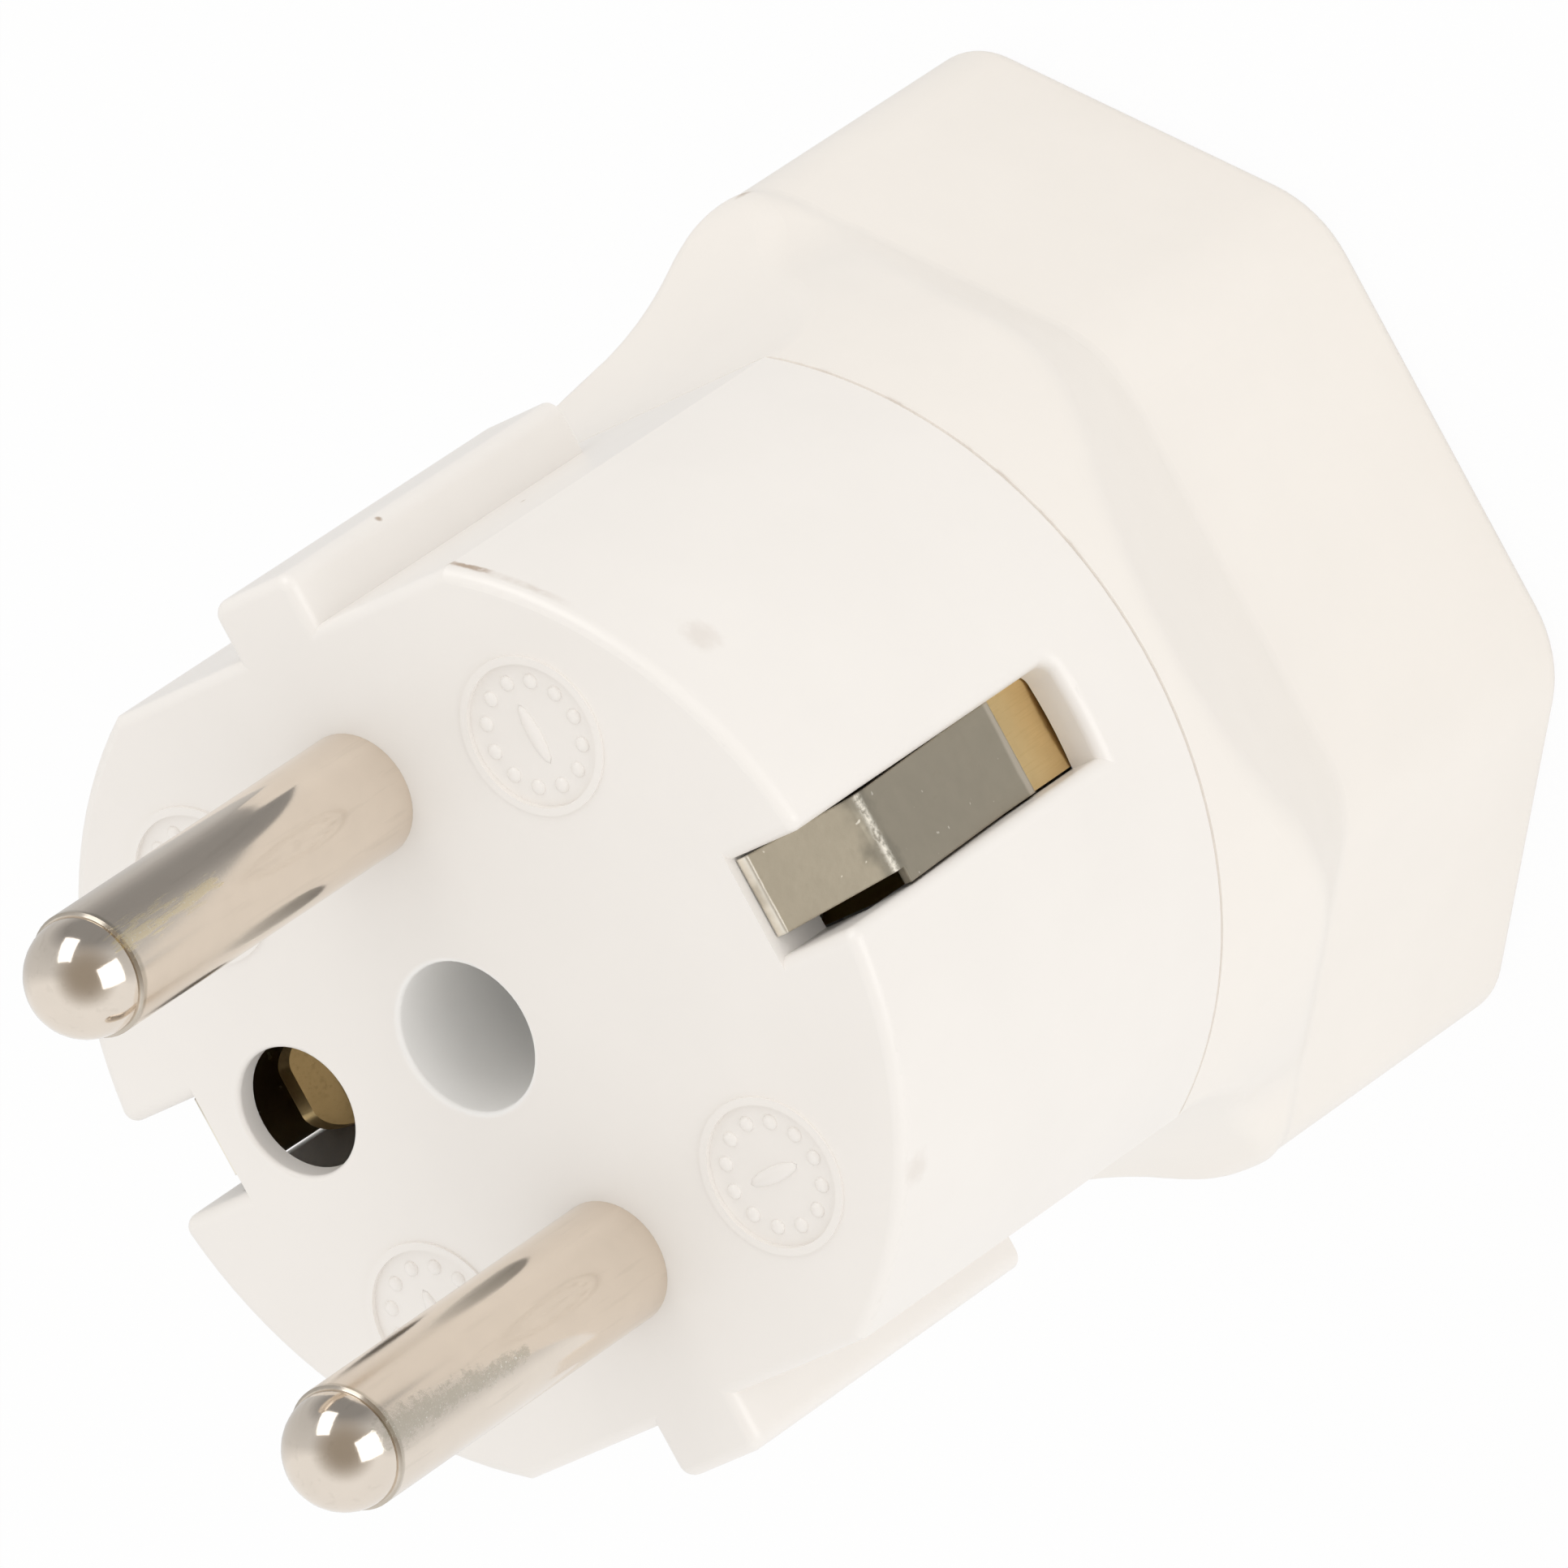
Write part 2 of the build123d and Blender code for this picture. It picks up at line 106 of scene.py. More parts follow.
def rampNode(tree, value, low, high):
    node = addNode(tree, "ShaderNodeMapRange", interpolation_type="SMOOTHSTEP")
    feed(tree, value, node.inputs["Value"])
    feed(tree, low, node.inputs["From Min"])
    feed(tree, high, node.inputs["From Max"])
    return node.outputs["Result"]


def mixColour(tree, factor, first, second):
    node = addNode(tree, "ShaderNodeMix", data_type="RGBA")
    feed(tree, factor, node.inputs[0])
    feed(tree, first, node.inputs[6])
    feed(tree, second, node.inputs[7])
    return node.outputs[2]


def inMillimetres(tree, stretch=(1, 1, 1)):
    # object coordinates in millimetres, so texture scales read per millimetre
    place = addNode(tree, "ShaderNodeTexCoord").outputs["Object"]
    return vectorNode(tree, "MULTIPLY", place, [share / mm for share in stretch])


def noiseNode(tree, vector, scale, detail=3.0, roughness=0.55):
    node = addNode(tree, "ShaderNodeTexNoise")
    tree.links.new(vector, node.inputs["Vector"])
    feed(tree, scale, node.inputs["Scale"])
    node.inputs["Detail"].default_value = detail
    node.inputs["Roughness"].default_value = roughness
    return node.outputs["Fac"]


def swing(tree, noise, amount):
    # noise moved from about one half to about zero, times an amount
    centred = mathNode(tree, "SUBTRACT", noise, 0.5)
    return mathNode(tree, "MULTIPLY", centred, amount)


def newGroup(name, inputs, outputs):
    group = bpy.data.node_groups.new(name, "ShaderNodeTree")
    for label, kind, value in inputs:
        socket = group.interface.new_socket(label, in_out="INPUT", socket_type=kind)
        socket.default_value = value
    for label, kind in outputs:
        group.interface.new_socket(label, in_out="OUTPUT", socket_type=kind)
    return group, group.nodes.new("NodeGroupInput"), group.nodes.new("NodeGroupOutput")


def useGroup(tree, group, **values):
    node = tree.nodes.new("ShaderNodeGroup")
    node.node_tree = group
    for label, value in values.items():
        feed(tree, value, node.inputs[label])
    return node


# shared surface effects; an edge says where a mask starts and where it is full

effectLook = {
    "softEdge": (1.0, 0.2),  # of spots and streaks, as a share of their half width
    "lineEdge": (1.0, 0.3),  # of bands and arcs
    "patchEdge": (0.85, 1.25),  # of the patches that a band or an arc breaks into
    "spotScale": 2.2,
    "bandRagged": 1.6,
    "arcRagged": 1.5,
    "streakTaper": -0.6,  # change of a streak's width from its start to its end
    "scratchFade": 0.12,
}


def mottleGroup():
    group, given, result = newGroup(
        "mottle",
        [("Scale", "NodeSocketFloat", 0.3), ("Spread", "NodeSocketFloat", 0.1)],
        [("Tone", "NodeSocketFloat")],
    )
    noise = noiseNode(group, inMillimetres(group), given.outputs["Scale"], detail=4.0)
    spread = swing(group, noise, given.outputs["Spread"])
    group.links.new(mathNode(group, "ADD", spread, 1.0), result.inputs["Tone"])
    return group


def spotGroup():
    group, given, result = newGroup(
        "dirtSpot",
        [("Centre", "NodeSocketVector", (0, 0, 0)), ("Radius", "NodeSocketFloat", 1.0),
         ("Ragged", "NodeSocketFloat", 0.5), ("Strength", "NodeSocketFloat", 0.5)],
        [("Mask", "NodeSocketFloat")],
    )
    place = inMillimetres(group)
    away = vectorNode(group, "DISTANCE", place, given.outputs["Centre"])
    noise = noiseNode(group, place, effectLook["spotScale"], detail=4.0)
    ragged = swing(group, noise, given.outputs["Ragged"])
    ratio = mathNode(group, "ADD", mathNode(group, "DIVIDE", away, given.outputs["Radius"]), ragged)
    fade = rampNode(group, ratio, *effectLook["softEdge"])
    group.links.new(mathNode(group, "MULTIPLY", fade, given.outputs["Strength"]), result.inputs["Mask"])
    return group


def bandGroup():
    group, given, result = newGroup(
        "levelBand",
        [("Level", "NodeSocketFloat", 0.0), ("Half Width", "NodeSocketFloat", 0.2),
         ("Patch Scale", "NodeSocketFloat", 0.2), ("Cover", "NodeSocketFloat", 0.5)],
        [("Mask", "NodeSocketFloat")],
    )
    place = inMillimetres(group)
    above = mathNode(group, "SUBTRACT", separate(group, place)["Z"], given.outputs["Level"])
    away = mathNode(group, "ABSOLUTE", above)
    patches = noiseNode(group, place, given.outputs["Patch Scale"], detail=3.0)
    ragged = swing(group, patches, effectLook["bandRagged"])
    ratio = mathNode(group, "ADD", mathNode(group, "DIVIDE", away, given.outputs["Half Width"]), ragged)
    line = rampNode(group, ratio, *effectLook["lineEdge"])
    covered = mathNode(group, "ADD", patches, given.outputs["Cover"])
    shown = rampNode(group, covered, *effectLook["patchEdge"])
    group.links.new(mathNode(group, "MULTIPLY", line, shown), result.inputs["Mask"])
    return group


def arcGroup():
    # thin ragged line of grime round part of a level circle
    group, given, result = newGroup(
        "arcGrime",
        [("Ring Radius", "NodeSocketFloat", 17.8), ("Level", "NodeSocketFloat", 0.0),
         ("Half Width", "NodeSocketFloat", 0.2), ("Towards", "NodeSocketVector", (1, 0, 0)),
         ("Fade From", "NodeSocketFloat", 0.9), ("Patch Scale", "NodeSocketFloat", 1.0),
         ("Cover", "NodeSocketFloat", 0.5)],
        [("Mask", "NodeSocketFloat")],
    )
    place = inMillimetres(group)
    parts = separate(group, place)
    level = combine(group, parts["X"], parts["Y"], 0.0)
    outwards = mathNode(group, "SUBTRACT", vectorNode(group, "LENGTH", level), given.outputs["Ring Radius"])
    upwards = mathNode(group, "SUBTRACT", parts["Z"], given.outputs["Level"])
    away = vectorNode(group, "LENGTH", combine(group, outwards, 0.0, upwards))
    patches = noiseNode(group, place, given.outputs["Patch Scale"], detail=4.0)
    ragged = swing(group, patches, effectLook["arcRagged"])
    ratio = mathNode(group, "ADD", mathNode(group, "DIVIDE", away, given.outputs["Half Width"]), ragged)
    line = rampNode(group, ratio, *effectLook["lineEdge"])
    facing = vectorNode(group, "NORMALIZE", level)
    along = vectorNode(group, "DOT_PRODUCT", facing, given.outputs["Towards"])
    fade = rampNode(group, along, given.outputs["Fade From"], 1.0)
    covered = mathNode(group, "ADD", patches, given.outputs["Cover"])
    shown = rampNode(group, covered, *effectLook["patchEdge"])
    mask = mathNode(group, "MULTIPLY", mathNode(group, "MULTIPLY", line, fade), shown)
    group.links.new(mask, result.inputs["Mask"])
    return group


def streakGroup():
    # worn streak along a straight line, narrower towards its end
    group, given, result = newGroup(
        "wornStreak",
        [("From", "NodeSocketVector", (0, 0, 0)), ("Run", "NodeSocketVector", (0, 0, 1)),
         ("Half Width", "NodeSocketFloat", 0.5), ("Patch Scale", "NodeSocketFloat", 2.0),
         ("Along", "NodeSocketFloat", 1.0), ("Ragged", "NodeSocketFloat", 2.4)],
        [("Mask", "NodeSocketFloat")],
    )
    place = inMillimetres(group)
    run = given.outputs["Run"]
    offset = vectorNode(group, "SUBTRACT", place, given.outputs["From"])
    share = mathNode(group, "DIVIDE", vectorNode(group, "DOT_PRODUCT", offset, run),
                     vectorNode(group, "DOT_PRODUCT", run, run), clamp=True)
    away = vectorNode(group, "DISTANCE", offset, scaled(group, run, share))
    taper = mathNode(group, "MULTIPLY_ADD", share, effectLook["streakTaper"], 1.0)
    width = mathNode(group, "MULTIPLY", given.outputs["Half Width"], taper)
    flecks = vectorNode(group, "MULTIPLY", place, combine(group, 1.0, 1.0, given.outputs["Along"]))
    patches = noiseNode(group, flecks, given.outputs["Patch Scale"], detail=5.0, roughness=0.7)
    ragged = swing(group, patches, given.outputs["Ragged"])
    ratio = mathNode(group, "ADD", mathNode(group, "DIVIDE", away, width), ragged)
    group.links.new(rampNode(group, ratio, *effectLook["softEdge"]), result.inputs["Mask"])
    return group


def scratchGroup():
    # fine scratches, with one rate per mm across the part's height and one along it
    group, given, result = newGroup(
        "fineScratches",
        [("Across", "NodeSocketFloat", 12.0), ("Along", "NodeSocketFloat", 0.6),
         ("Threshold", "NodeSocketFloat", 0.6)],
        [("Mask", "NodeSocketFloat"), ("Height", "NodeSocketFloat")],
    )
    rates = combine(group, given.outputs["Across"], given.outputs["Across"], given.outputs["Along"])
    drawn = vectorNode(group, "MULTIPLY", inMillimetres(group), rates)
    noise = noiseNode(group, drawn, 1.0, detail=3.0)
    top = mathNode(group, "ADD", given.outputs["Threshold"], effectLook["scratchFade"])
    group.links.new(rampNode(group, noise, given.outputs["Threshold"], top), result.inputs["Mask"])
    group.links.new(noise, result.inputs["Height"])
    return group


mottle = mottleGroup()
dirtSpot = spotGroup()
levelBand = bandGroup()
arcGrime = arcGroup()
wornStreak = streakGroup()
fineScratches = scratchGroup()
print("shared effects built")


def newMaterial(name, **uniform):
    material = bpy.data.materials.new(name)
    material.use_nodes = True
    tree = material.node_tree
    shader = tree.nodes["Principled BSDF"]
    for label, value in uniform.items():
        shader.inputs[label].default_value = value
    return material, tree, shader


def toneOf(tree, values):
    return useGroup(tree, mottle, **values).outputs["Tone"]


def bandMask(tree, band):
    # a band is its level and half width in mm, its patches per mm and how much they cover
    labels = ("Level", "Half Width", "Patch Scale", "Cover")
    return useGroup(tree, levelBand, **dict(zip(labels, band))).outputs["Mask"]


def bumpNode(tree, height, bump):
    strength, depth = bump
    node = addNode(tree, "ShaderNodeBump")
    node.inputs["Strength"].default_value = strength
    node.inputs["Distance"].default_value = depth * mm
    tree.links.new(height, node.inputs["Height"])
    return node


# white moulded shells, with grime along the seam and on the plug's rim

# an arc is its radius, level and half width in mm, its way in degrees, fade, patches per mm, cover, strength
seamArc = (plugRadius, seamLevel, 0.17, -50, 0.6, 0.8, 0.42, 0.32)

plugLook = {
    "name": "satin_white_plug",
    "colour": (0.93, 0.9, 0.865),
    "well": ((0, 1.0, 0), 3.0),  # axis and radius of the screw well, in mm
    "spots": [  # centre in mm, radius in mm, raggedness, strength
        ((9.3, -15.2, 45.3), 1.0, 0.8, 0.14),
        ((-10.8, -14.2, 47.6), 0.9, 0.9, 0.12),
        ((15.6, -4.7, 38.5), 0.16, 0.2, 0.7),
        ((17.6, -1.9, 42.6), 0.2, 0.2, 0.7),
    ],
    "arcs": [
        (plugRadius, 47.78, 0.24, -31.5, 0.9978, 2.2, 0.72, 0.75),
        (plugRadius, 47.85, 0.3, -37, 0.985, 1.2, 0.56, 0.24),
        seamArc,
    ],
}

headLook = {
    "name": "satin_white_head",
    "colour": (0.94, 0.9, 0.85),
    "well": None,
    "spots": [
        ((20.0, -0.6, 15.5), 0.45, 0.6, 0.5),
        ((-19.6, 1.6, 17.4), 0.35, 0.7, 0.4),
        ((-18.6, 2.6, 19.0), 0.3, 0.7, 0.35),
        ((14.1, -11.0, 14.0), 0.5, 0.8, 0.08),
    ],
    "arcs": [seamArc],
}

plasticFinish = {
    "ior": 1.5,
    "tone": {"Scale": 0.22, "Spread": 0.04},
    "wellColour": (0.99, 0.985, 0.97),  # paler, for the light that comes through the wall
    "wellEdge": (0.15, -0.05),  # where the well's colour starts and is full, from the well's radius in mm
    "dirt": (0.34, 0.21, 0.11),
    "roughness": 0.33,
    "polish": {"Scale": 0.6, "Spread": 0.35},
    "dirtRoughness": 0.3,
    "grain": 2.4,  # per mm
    "bump": (0.05, 0.03),  # strength, depth in mm
}


def wellMask(tree, well, edge):
    axis, radius = well
    away = vectorNode(tree, "DISTANCE", inMillimetres(tree, (1, 1, 0)), axis)
    return rampNode(tree, away, *[radius + step for step in edge])


def shellGrime(tree, look):
    grime = 0.0
    for centre, radius, ragged, strength in look["spots"]:
        spot = useGroup(tree, dirtSpot, Centre=centre, Radius=radius, Ragged=ragged, Strength=strength)
        grime = mathNode(tree, "MAXIMUM", grime, spot.outputs["Mask"])
    for radius, level, halfWidth, towards, fade, patches, cover, strength in look["arcs"]:
        turn = math.radians(towards)
        arc = useGroup(tree, arcGrime, **{
            "Ring Radius": radius, "Level": level, "Half Width": halfWidth, "Fade From": fade,
            "Towards": (math.cos(turn), math.sin(turn), 0), "Patch Scale": patches, "Cover": cover,
        })
        grime = mathNode(tree, "MAXIMUM", grime, mathNode(tree, "MULTIPLY", arc.outputs["Mask"], strength))
    return grime


def moulded(look, finish=plasticFinish):
    material, tree, shader = newMaterial(look["name"], IOR=finish["ior"])
    clean = scaled(tree, look["colour"], toneOf(tree, finish["tone"]))
    if look["well"]:
        # painted light: the screw well is paler, for the light that comes through the wall
        inside = wellMask(tree, look["well"], finish["wellEdge"])
        clean = mixColour(tree, inside, clean, (*finish["wellColour"], 1))
    grime = shellGrime(tree, look)
    dirty = (*finish["dirt"], 1)
    tree.links.new(mixColour(tree, grime, clean, dirty), shader.inputs["Base Color"])
    rough = mathNode(tree, "MULTIPLY", toneOf(tree, finish["polish"]), finish["roughness"])
    worn = mathNode(tree, "MULTIPLY_ADD", grime, finish["dirtRoughness"], rough)
    tree.links.new(worn, shader.inputs["Roughness"])
    grain = noiseNode(tree, inMillimetres(tree), finish["grain"], detail=2.0)
    tree.links.new(bumpNode(tree, grain, finish["bump"]).outputs[0], shader.inputs["Normal"])
    return material


# polished nickel pins, duller towards the tip, with worn streaks that carry painted glints

pinLook = {
    "name": "polished_nickel_pin",
    "colour": (0.82, 0.735, 0.64),
    "dull": (0.56, 0.5, 0.42),
    "glintTint": (0.95, 0.92, 0.85),
    "tone": {"Scale": 0.8, "Spread": 0.08},
    "scratches": {"Across": 3.0, "Along": 0.25, "Threshold": 0.56},
    "scratchStain": 0.12,
    "roughness": 0.11,
    "tipRoughness": 0.09,  # added between the tip levels, and gone on the dome
    "tipLevels": (53.0, 64.0),
    "domeLevels": (pinTip - 2.15, pinTip - 2.35),
    "step": (pinTip - 2.38, 0.22, 0.5, 0.9),  # the ledge below the dome, darkened as painted shade
    "stepShade": 0.85,
    "streaks": [  # start and run in mm, half width, fleck scale, stretch and raggedness, colour
        ((10.08, -2.32, 65.1), (0.0, 0.0, -5.6), 0.62, 5.5, 0.1, 5.5, (0.9, 0.77, 0.5)),
        ((-9.55, -2.4, 65.1), (-0.5, 0.06, -8.0), 0.8, 4.0, 0.6, 3.2, (0.56, 0.52, 0.43)),
    ],
    "streakStain": 0.65,
    "streakRoughness": 0.14,
    "grains": 13.0,
    "glintEdge": (0.6, 0.72),
    "scratchRelief": 0.3,
    "grainRelief": 0.12,
    "streakRelief": 0.7,
    "bump": (0.2, 0.03),
}


def nickelPin(look):
    material, tree, shader = newMaterial(look["name"], Metallic=1.0)
    dull = (*look["dull"], 1)
    place = inMillimetres(tree)
    drawn = useGroup(tree, fineScratches, **look["scratches"])
    colour = scaled(tree, look["colour"], toneOf(tree, look["tone"]))
    stain = mathNode(tree, "MULTIPLY", drawn.outputs["Mask"], look["scratchStain"])
    colour = mixColour(tree, stain, colour, dull)
    # painted shade: the ledge below the dome is darkened so it mirrors less of the bright room
    ledge = mathNode(tree, "MULTIPLY", bandMask(tree, look["step"]), look["stepShade"])
    colour = mixColour(tree, ledge, colour, dull)
    worn = 0.0
    for start, run, halfWidth, patches, along, ragged, tint in look["streaks"]:
        streak = useGroup(tree, wornStreak, **{
            "From": start, "Run": run, "Half Width": halfWidth,
            "Patch Scale": patches, "Along": along, "Ragged": ragged,
        }).outputs["Mask"]
        stain = mathNode(tree, "MULTIPLY", streak, look["streakStain"])
        colour = mixColour(tree, stain, colour, (*tint, 1))
        worn = mathNode(tree, "MAXIMUM", worn, streak)
    grains = noiseNode(tree, place, look["grains"], detail=2.0)
    # painted glints: bright flecks within the worn streaks
    glints = mathNode(tree, "MULTIPLY", rampNode(tree, grains, *look["glintEdge"]), worn)
    tree.links.new(mixColour(tree, glints, colour, (*look["glintTint"], 1)), shader.inputs["Base Color"])
    height = separate(tree, place)["Z"]
    handled = mathNode(tree, "MULTIPLY", rampNode(tree, height, *look["tipLevels"]),
                       rampNode(tree, height, *look["domeLevels"]))
    rough = mathNode(tree, "MULTIPLY_ADD", handled, look["tipRoughness"], look["roughness"])
    rough = mathNode(tree, "MULTIPLY_ADD", worn, look["streakRoughness"], rough)
    tree.links.new(rough, shader.inputs["Roughness"])
    grainShare = mathNode(tree, "MULTIPLY_ADD", worn, look["streakRelief"], look["grainRelief"])
    drawnRelief = mathNode(tree, "MULTIPLY", drawn.outputs["Height"], look["scratchRelief"])
    relief = mathNode(tree, "ADD", drawnRelief, mathNode(tree, "MULTIPLY", grains, grainShare))
    tree.links.new(bumpNode(tree, relief, look["bump"]).outputs[0], shader.inputs["Normal"])
    return material


# dull nickel side clips, bright where the kink has rubbed, with painted highlights on the kink's ridge, the
# end and the foot, painted glint flecks and painted shade round the kink

clipLook = {
    "name": "dull_nickel_clip",
    "colour": (0.46, 0.41, 0.32),
    "dull": (0.34, 0.31, 0.25),
    "rubAndGlint": (0.95, 0.9, 0.8),
    "foot": (0.66, 0.59, 0.48),
    "tone": {"Scale": 1.1, "Spread": 0.16},
    "scratches": {"Across": 6.0, "Along": 1.2, "Threshold": 0.6},
    "bend": (44.5, 0.75, 0.8, 0.9),  # darker, rougher stretch round the kink, painted shade that tones down the kink's lamp reflection
    "tail": (clipFoot + 0.12, 0.28, 0.3, 0.95),  # paler foot, a painted highlight on the rolled end
    "rubAndGlintBands": [(44.48, 0.24, 4.5, 0.56), (clipEnd - 0.03, 0.08, 0.6, 0.9)],  # the kink's ridge, rubbed metal with a painted highlight, and the end, a painted highlight
    "glintFlecks": 2.8,
    "glintFleckEdge": (0.74, 0.78),
    "glintFleckShare": 0.6,
    "roughness": 0.31,
    "scratchRoughness": 0.1,
    "bendRoughness": 0.25,
    "rounding": 0.12,  # of the edges, in mm
    "roundingSamples": 4,
    "rubAndGlintRelief": 0.6,
    "bump": (0.08, 0.03),
}


def nickelClip(look):
    material, tree, shader = newMaterial(look["name"], Metallic=1.0)
    drawn = useGroup(tree, fineScratches, **look["scratches"])
    colour = scaled(tree, look["colour"], toneOf(tree, look["tone"]))
    # painted shade: a darker stretch round the kink, against its lamp reflection
    bend = bandMask(tree, look["bend"])
    colour = mixColour(tree, bend, colour, (*look["dull"], 1))
    # painted highlight: a pale strip along the clip's rolled foot
    colour = mixColour(tree, bandMask(tree, look["tail"]), colour, (*look["foot"], 1))
    # painted glints: small bright flecks scattered over the clip
    glintNoise = noiseNode(tree, inMillimetres(tree), look["glintFlecks"], detail=1.0)
    bright = mathNode(tree, "MULTIPLY", rampNode(tree, glintNoise, *look["glintFleckEdge"]), look["glintFleckShare"])
    # painted highlights: a bright band on the rubbed kink ridge and a bright line along the clip's end
    for band in look["rubAndGlintBands"]:
        bright = mathNode(tree, "MAXIMUM", bright, bandMask(tree, band))
    tree.links.new(mixColour(tree, bright, colour, (*look["rubAndGlint"], 1)), shader.inputs["Base Color"])
    scratches = drawn.outputs["Mask"]
    rough = mathNode(tree, "MULTIPLY_ADD", scratches, look["scratchRoughness"], look["roughness"])
    rough = mathNode(tree, "MULTIPLY_ADD", bend, look["bendRoughness"], rough)
    tree.links.new(rough, shader.inputs["Roughness"])
    rolled = addNode(tree, "ShaderNodeBevel", samples=look["roundingSamples"])
    rolled.inputs["Radius"].default_value = look["rounding"] * mm
    relief = mathNode(tree, "MULTIPLY_ADD", bright, look["rubAndGlintRelief"], drawn.outputs["Height"])
    bump = bumpNode(tree, relief, look["bump"])
    tree.links.new(rolled.outputs["Normal"], bump.inputs["Normal"])
    tree.links.new(bump.outputs[0], shader.inputs["Normal"])
    return material


# bare brass inside, plain steel for the springs and the screw

brassLook = {
    "name": "bare_brass",
    "colour": (0.78, 0.58, 0.29),
    "dull": (0.66, 0.48, 0.22),
    "roughness": 0.33,
}
springLook = {
    "name": "spring_steel",
    "colour": (0.42, 0.42, 0.43),
    "dull": (0.2, 0.2, 0.21),
    "roughness": 0.32,
}
screwLook = {
    "name": "zinc_screw",
    "colour": (0.62, 0.61, 0.58),
    "dull": (0.34, 0.33, 0.3),
    "roughness": 0.32,
}
stripFinish = {
    "tone": {"Scale": 0.9, "Spread": 0.2},
    "scratches": {"Across": 9.0, "Along": 0.5, "Threshold": 0.52},
    "scratchStain": 0.2,
    "scratchRoughness": 0.08,
    "bump": (0.03, 0.02),
}


def stripMetal(look, finish=stripFinish):
    material, tree, shader = newMaterial(look["name"], Metallic=1.0)
    drawn = useGroup(tree, fineScratches, **finish["scratches"])
    clean = scaled(tree, look["colour"], toneOf(tree, finish["tone"]))
    scratches = drawn.outputs["Mask"]
    stain = mathNode(tree, "MULTIPLY", scratches, finish["scratchStain"])
    tree.links.new(mixColour(tree, stain, clean, (*look["dull"], 1)), shader.inputs["Base Color"])
    rough = mathNode(tree, "MULTIPLY_ADD", scratches, finish["scratchRoughness"], look["roughness"])
    tree.links.new(rough, shader.inputs["Roughness"])
    bump = bumpNode(tree, drawn.outputs["Height"], finish["bump"])
    tree.links.new(bump.outputs[0], shader.inputs["Normal"])
    return material


finishes = {
    "plug_plastic": moulded(plugLook),
    "head_plastic": moulded(headLook),
    "pin_nickel": nickelPin(pinLook),
    "clip_nickel": nickelClip(clipLook),
    "contact_brass": stripMetal(brassLook),
    "spring_steel": stripMetal(springLook),
    "screw_steel": stripMetal(screwLook),
}
for entry in frame["record"]["subparts"]:
    slots = nodes[entry["node"]].data.materials
    slots.clear()
    slots.append(finishes[entry["material_slot"]])
print("finishes on all nodes")


# low relief in the four round marks: a ring of dots and a pointer, as on a plain mould insert

markLook = {
    "centres": [(8.9, 8.8), (-8.9, 8.8), (-8.9, -8.8), (8.9, -8.8)],
    "floor": markRim - 0.22,  # of the recess, below the rim round it
    "ringRadius": 2.05,
    "dotRadius": 0.3,
    "dotHeight": 0.15,
    "dots": 12,
    "dotSegments": 12,
    "dotRings": 8,
    "pointer": (0.32, 1.2, 0.15),  # half sizes of a rounded bar
}


def markTree(look, material):
    tree = bpy.data.node_groups.new("markRelief", "GeometryNodeTree")
    tree.interface.new_socket("Geometry", in_out="INPUT", socket_type="NodeSocketGeometry")
    for label, value in (("Ring Radius", look["ringRadius"] * mm), ("Dot Radius", look["dotRadius"] * mm),
                         ("Dot Height", look["dotHeight"] * mm)):
        socket = tree.interface.new_socket(label, in_out="INPUT", socket_type="NodeSocketFloat")
        socket.default_value = value
    tree.interface.new_socket("Geometry", in_out="OUTPUT", socket_type="NodeSocketGeometry")
    given = tree.nodes.new("NodeGroupInput")
    result = tree.nodes.new("NodeGroupOutput")
    ring = addNode(tree, "GeometryNodeMeshCircle")
    ring.inputs["Vertices"].default_value = look["dots"]
    tree.links.new(given.outputs["Ring Radius"], ring.inputs["Radius"])
    dot = addNode(tree, "GeometryNodeMeshUVSphere")
    dot.inputs["Segments"].default_value = look["dotSegments"]
    dot.inputs["Rings"].default_value = look["dotRings"]
    dot.inputs["Radius"].default_value = 1.0
    dots = addNode(tree, "GeometryNodeInstanceOnPoints")
    tree.links.new(ring.outputs["Mesh"], dots.inputs["Points"])
    tree.links.new(dot.outputs["Mesh"], dots.inputs["Instance"])
    dotRadius = given.outputs["Dot Radius"]
    dotSize = combine(tree, dotRadius, dotRadius, given.outputs["Dot Height"])
    tree.links.new(dotSize, dots.inputs["Scale"])
    pointer = addNode(tree, "GeometryNodeTransform")
    tree.links.new(dot.outputs["Mesh"], pointer.inputs["Geometry"])
    pointer.inputs["Scale"].default_value = [size * mm for size in look["pointer"]]
    joined = addNode(tree, "GeometryNodeJoinGeometry")
    tree.links.new(dots.outputs["Instances"], joined.inputs[0])
    tree.links.new(pointer.outputs["Geometry"], joined.inputs[0])
    number = addNode(tree, "GeometryNodeInputIndex")
    quarter = mathNode(tree, "MULTIPLY", number.outputs[0], math.pi / 2)
    marks = addNode(tree, "GeometryNodeInstanceOnPoints")
    tree.links.new(given.outputs["Geometry"], marks.inputs["Points"])
    tree.links.new(joined.outputs[0], marks.inputs["Instance"])
    tree.links.new(combine(tree, 0.0, 0.0, quarter), marks.inputs["Rotation"])
    solid = addNode(tree, "GeometryNodeRealizeInstances")
    tree.links.new(marks.outputs["Instances"], solid.inputs[0])
    coat = addNode(tree, "GeometryNodeSetMaterial")
    tree.links.new(solid.outputs[0], coat.inputs["Geometry"])
    coat.inputs["Material"].default_value = material
    tree.links.new(coat.outputs[0], result.inputs[0])
    return tree


